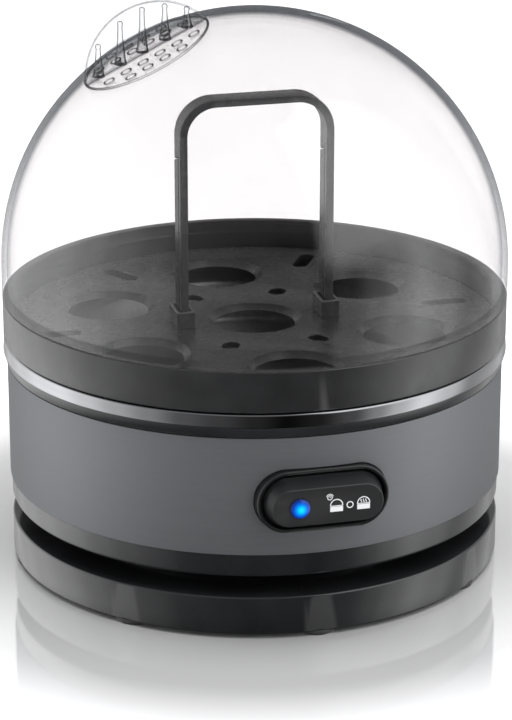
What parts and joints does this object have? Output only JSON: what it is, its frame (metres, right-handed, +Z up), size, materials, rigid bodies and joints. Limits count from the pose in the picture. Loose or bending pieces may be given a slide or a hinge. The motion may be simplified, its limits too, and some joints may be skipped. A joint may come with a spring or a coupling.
{
  "type": "egg cooker",
  "caption": "Round electric egg cooker with a clear domed lid, lift-out egg rack with a loop handle, heated water dish, front rocker switch and a cord-store groove in its base.",
  "frame": {"origin": "on the resting plane, directly below the centre of the flat underside of the base", "axes": "+Z up along the object's own axis, -Y out of the front through the rocker switch, +X to the right as seen from the front"},
  "size_m": [0.1624, 0.1687, 0.1826],
  "materials": {
    "clear_lid": "clear gloss",
    "gloss_black": "high gloss",
    "rack_black": "gloss",
    "satin_steel": "satin",
    "dark_chrome": "polished",
    "dish_metal": "satin",
    "heater_sheath": "oxidised",
    "zinc_steel": "plated",
    "silicone": "matt",
    "foot_rubber": "matt",
    "panel_black": "fine satin",
    "led_blue": "clear gloss",
    "phenolic": "matt",
    "circuit_board": "satin",
    "lead_insulation": "matt"
  },
  "bodies": {
    "base": {"housing_shell": "satin_steel", "trim_ring": "dark_chrome", "lower_housing": "gloss_black", "base_pan": "gloss_black", "heating_dish": "dish_metal", "dish_seal": "silicone", "heating_element": "heater_sheath", "element_clamp": "heater_sheath", "clamp_nut": "zinc_steel", "thermostat": "phenolic", "thermal_fuse": "silicone", "switch_bezel": "panel_black", "switch_body": "panel_black", "rocker_pin": "zinc_steel", "panel_screw_1": "zinc_steel", "panel_screw_2": "zinc_steel", "led_board": "circuit_board", "led_lamp": "led_blue", "buzzer": "panel_black", "terminal_block": "phenolic", "cord_gland": "foot_rubber", "cord_clamp": "panel_black", "cord_screw_1": "zinc_steel", "cord_screw_2": "zinc_steel", "body_screw_1": "zinc_steel", "body_screw_2": "zinc_steel", "body_screw_3": "zinc_steel", "base_screw_1": "zinc_steel", "base_screw_2": "zinc_steel", "base_screw_3": "zinc_steel", "base_screw_4": "zinc_steel", "foot_1": "foot_rubber", "foot_2": "foot_rubber", "foot_3": "foot_rubber", "foot_4": "foot_rubber", "foot_5": "foot_rubber", "foot_6": "foot_rubber", "foot_7": "foot_rubber", "foot_8": "foot_rubber", "lead_live": "lead_insulation", "lead_neutral": "lead_insulation", "lead_switched": "lead_insulation", "lead_fuse": "lead_insulation", "lead_element": "lead_insulation", "lead_buzzer": "lead_insulation"},
    "lid": {"lid_dome": "clear_lid"},
    "rack": {"egg_rack": "rack_black", "rack_handle": "rack_black"},
    "rocker": {"rocker_cap": "panel_black", "led_lens": "led_blue"}
  },
  "joints": [
    {"name": "rack_lift", "type": "slide", "parent": "base", "child": "rack", "axis": [0, 0, 1], "range_m": [0, 0.12]},
    {"name": "lid_lift", "type": "slide", "parent": "rack", "child": "lid", "axis": [0, 0, 1], "range_m": [0, 0.15]},
    {"name": "rocker_tilt", "type": "hinge", "parent": "base", "child": "rocker", "pos_m": [0, -0.074, 0.04549], "axis": [0, 0, 1], "range_deg": [-6, 6]}
  ]
}
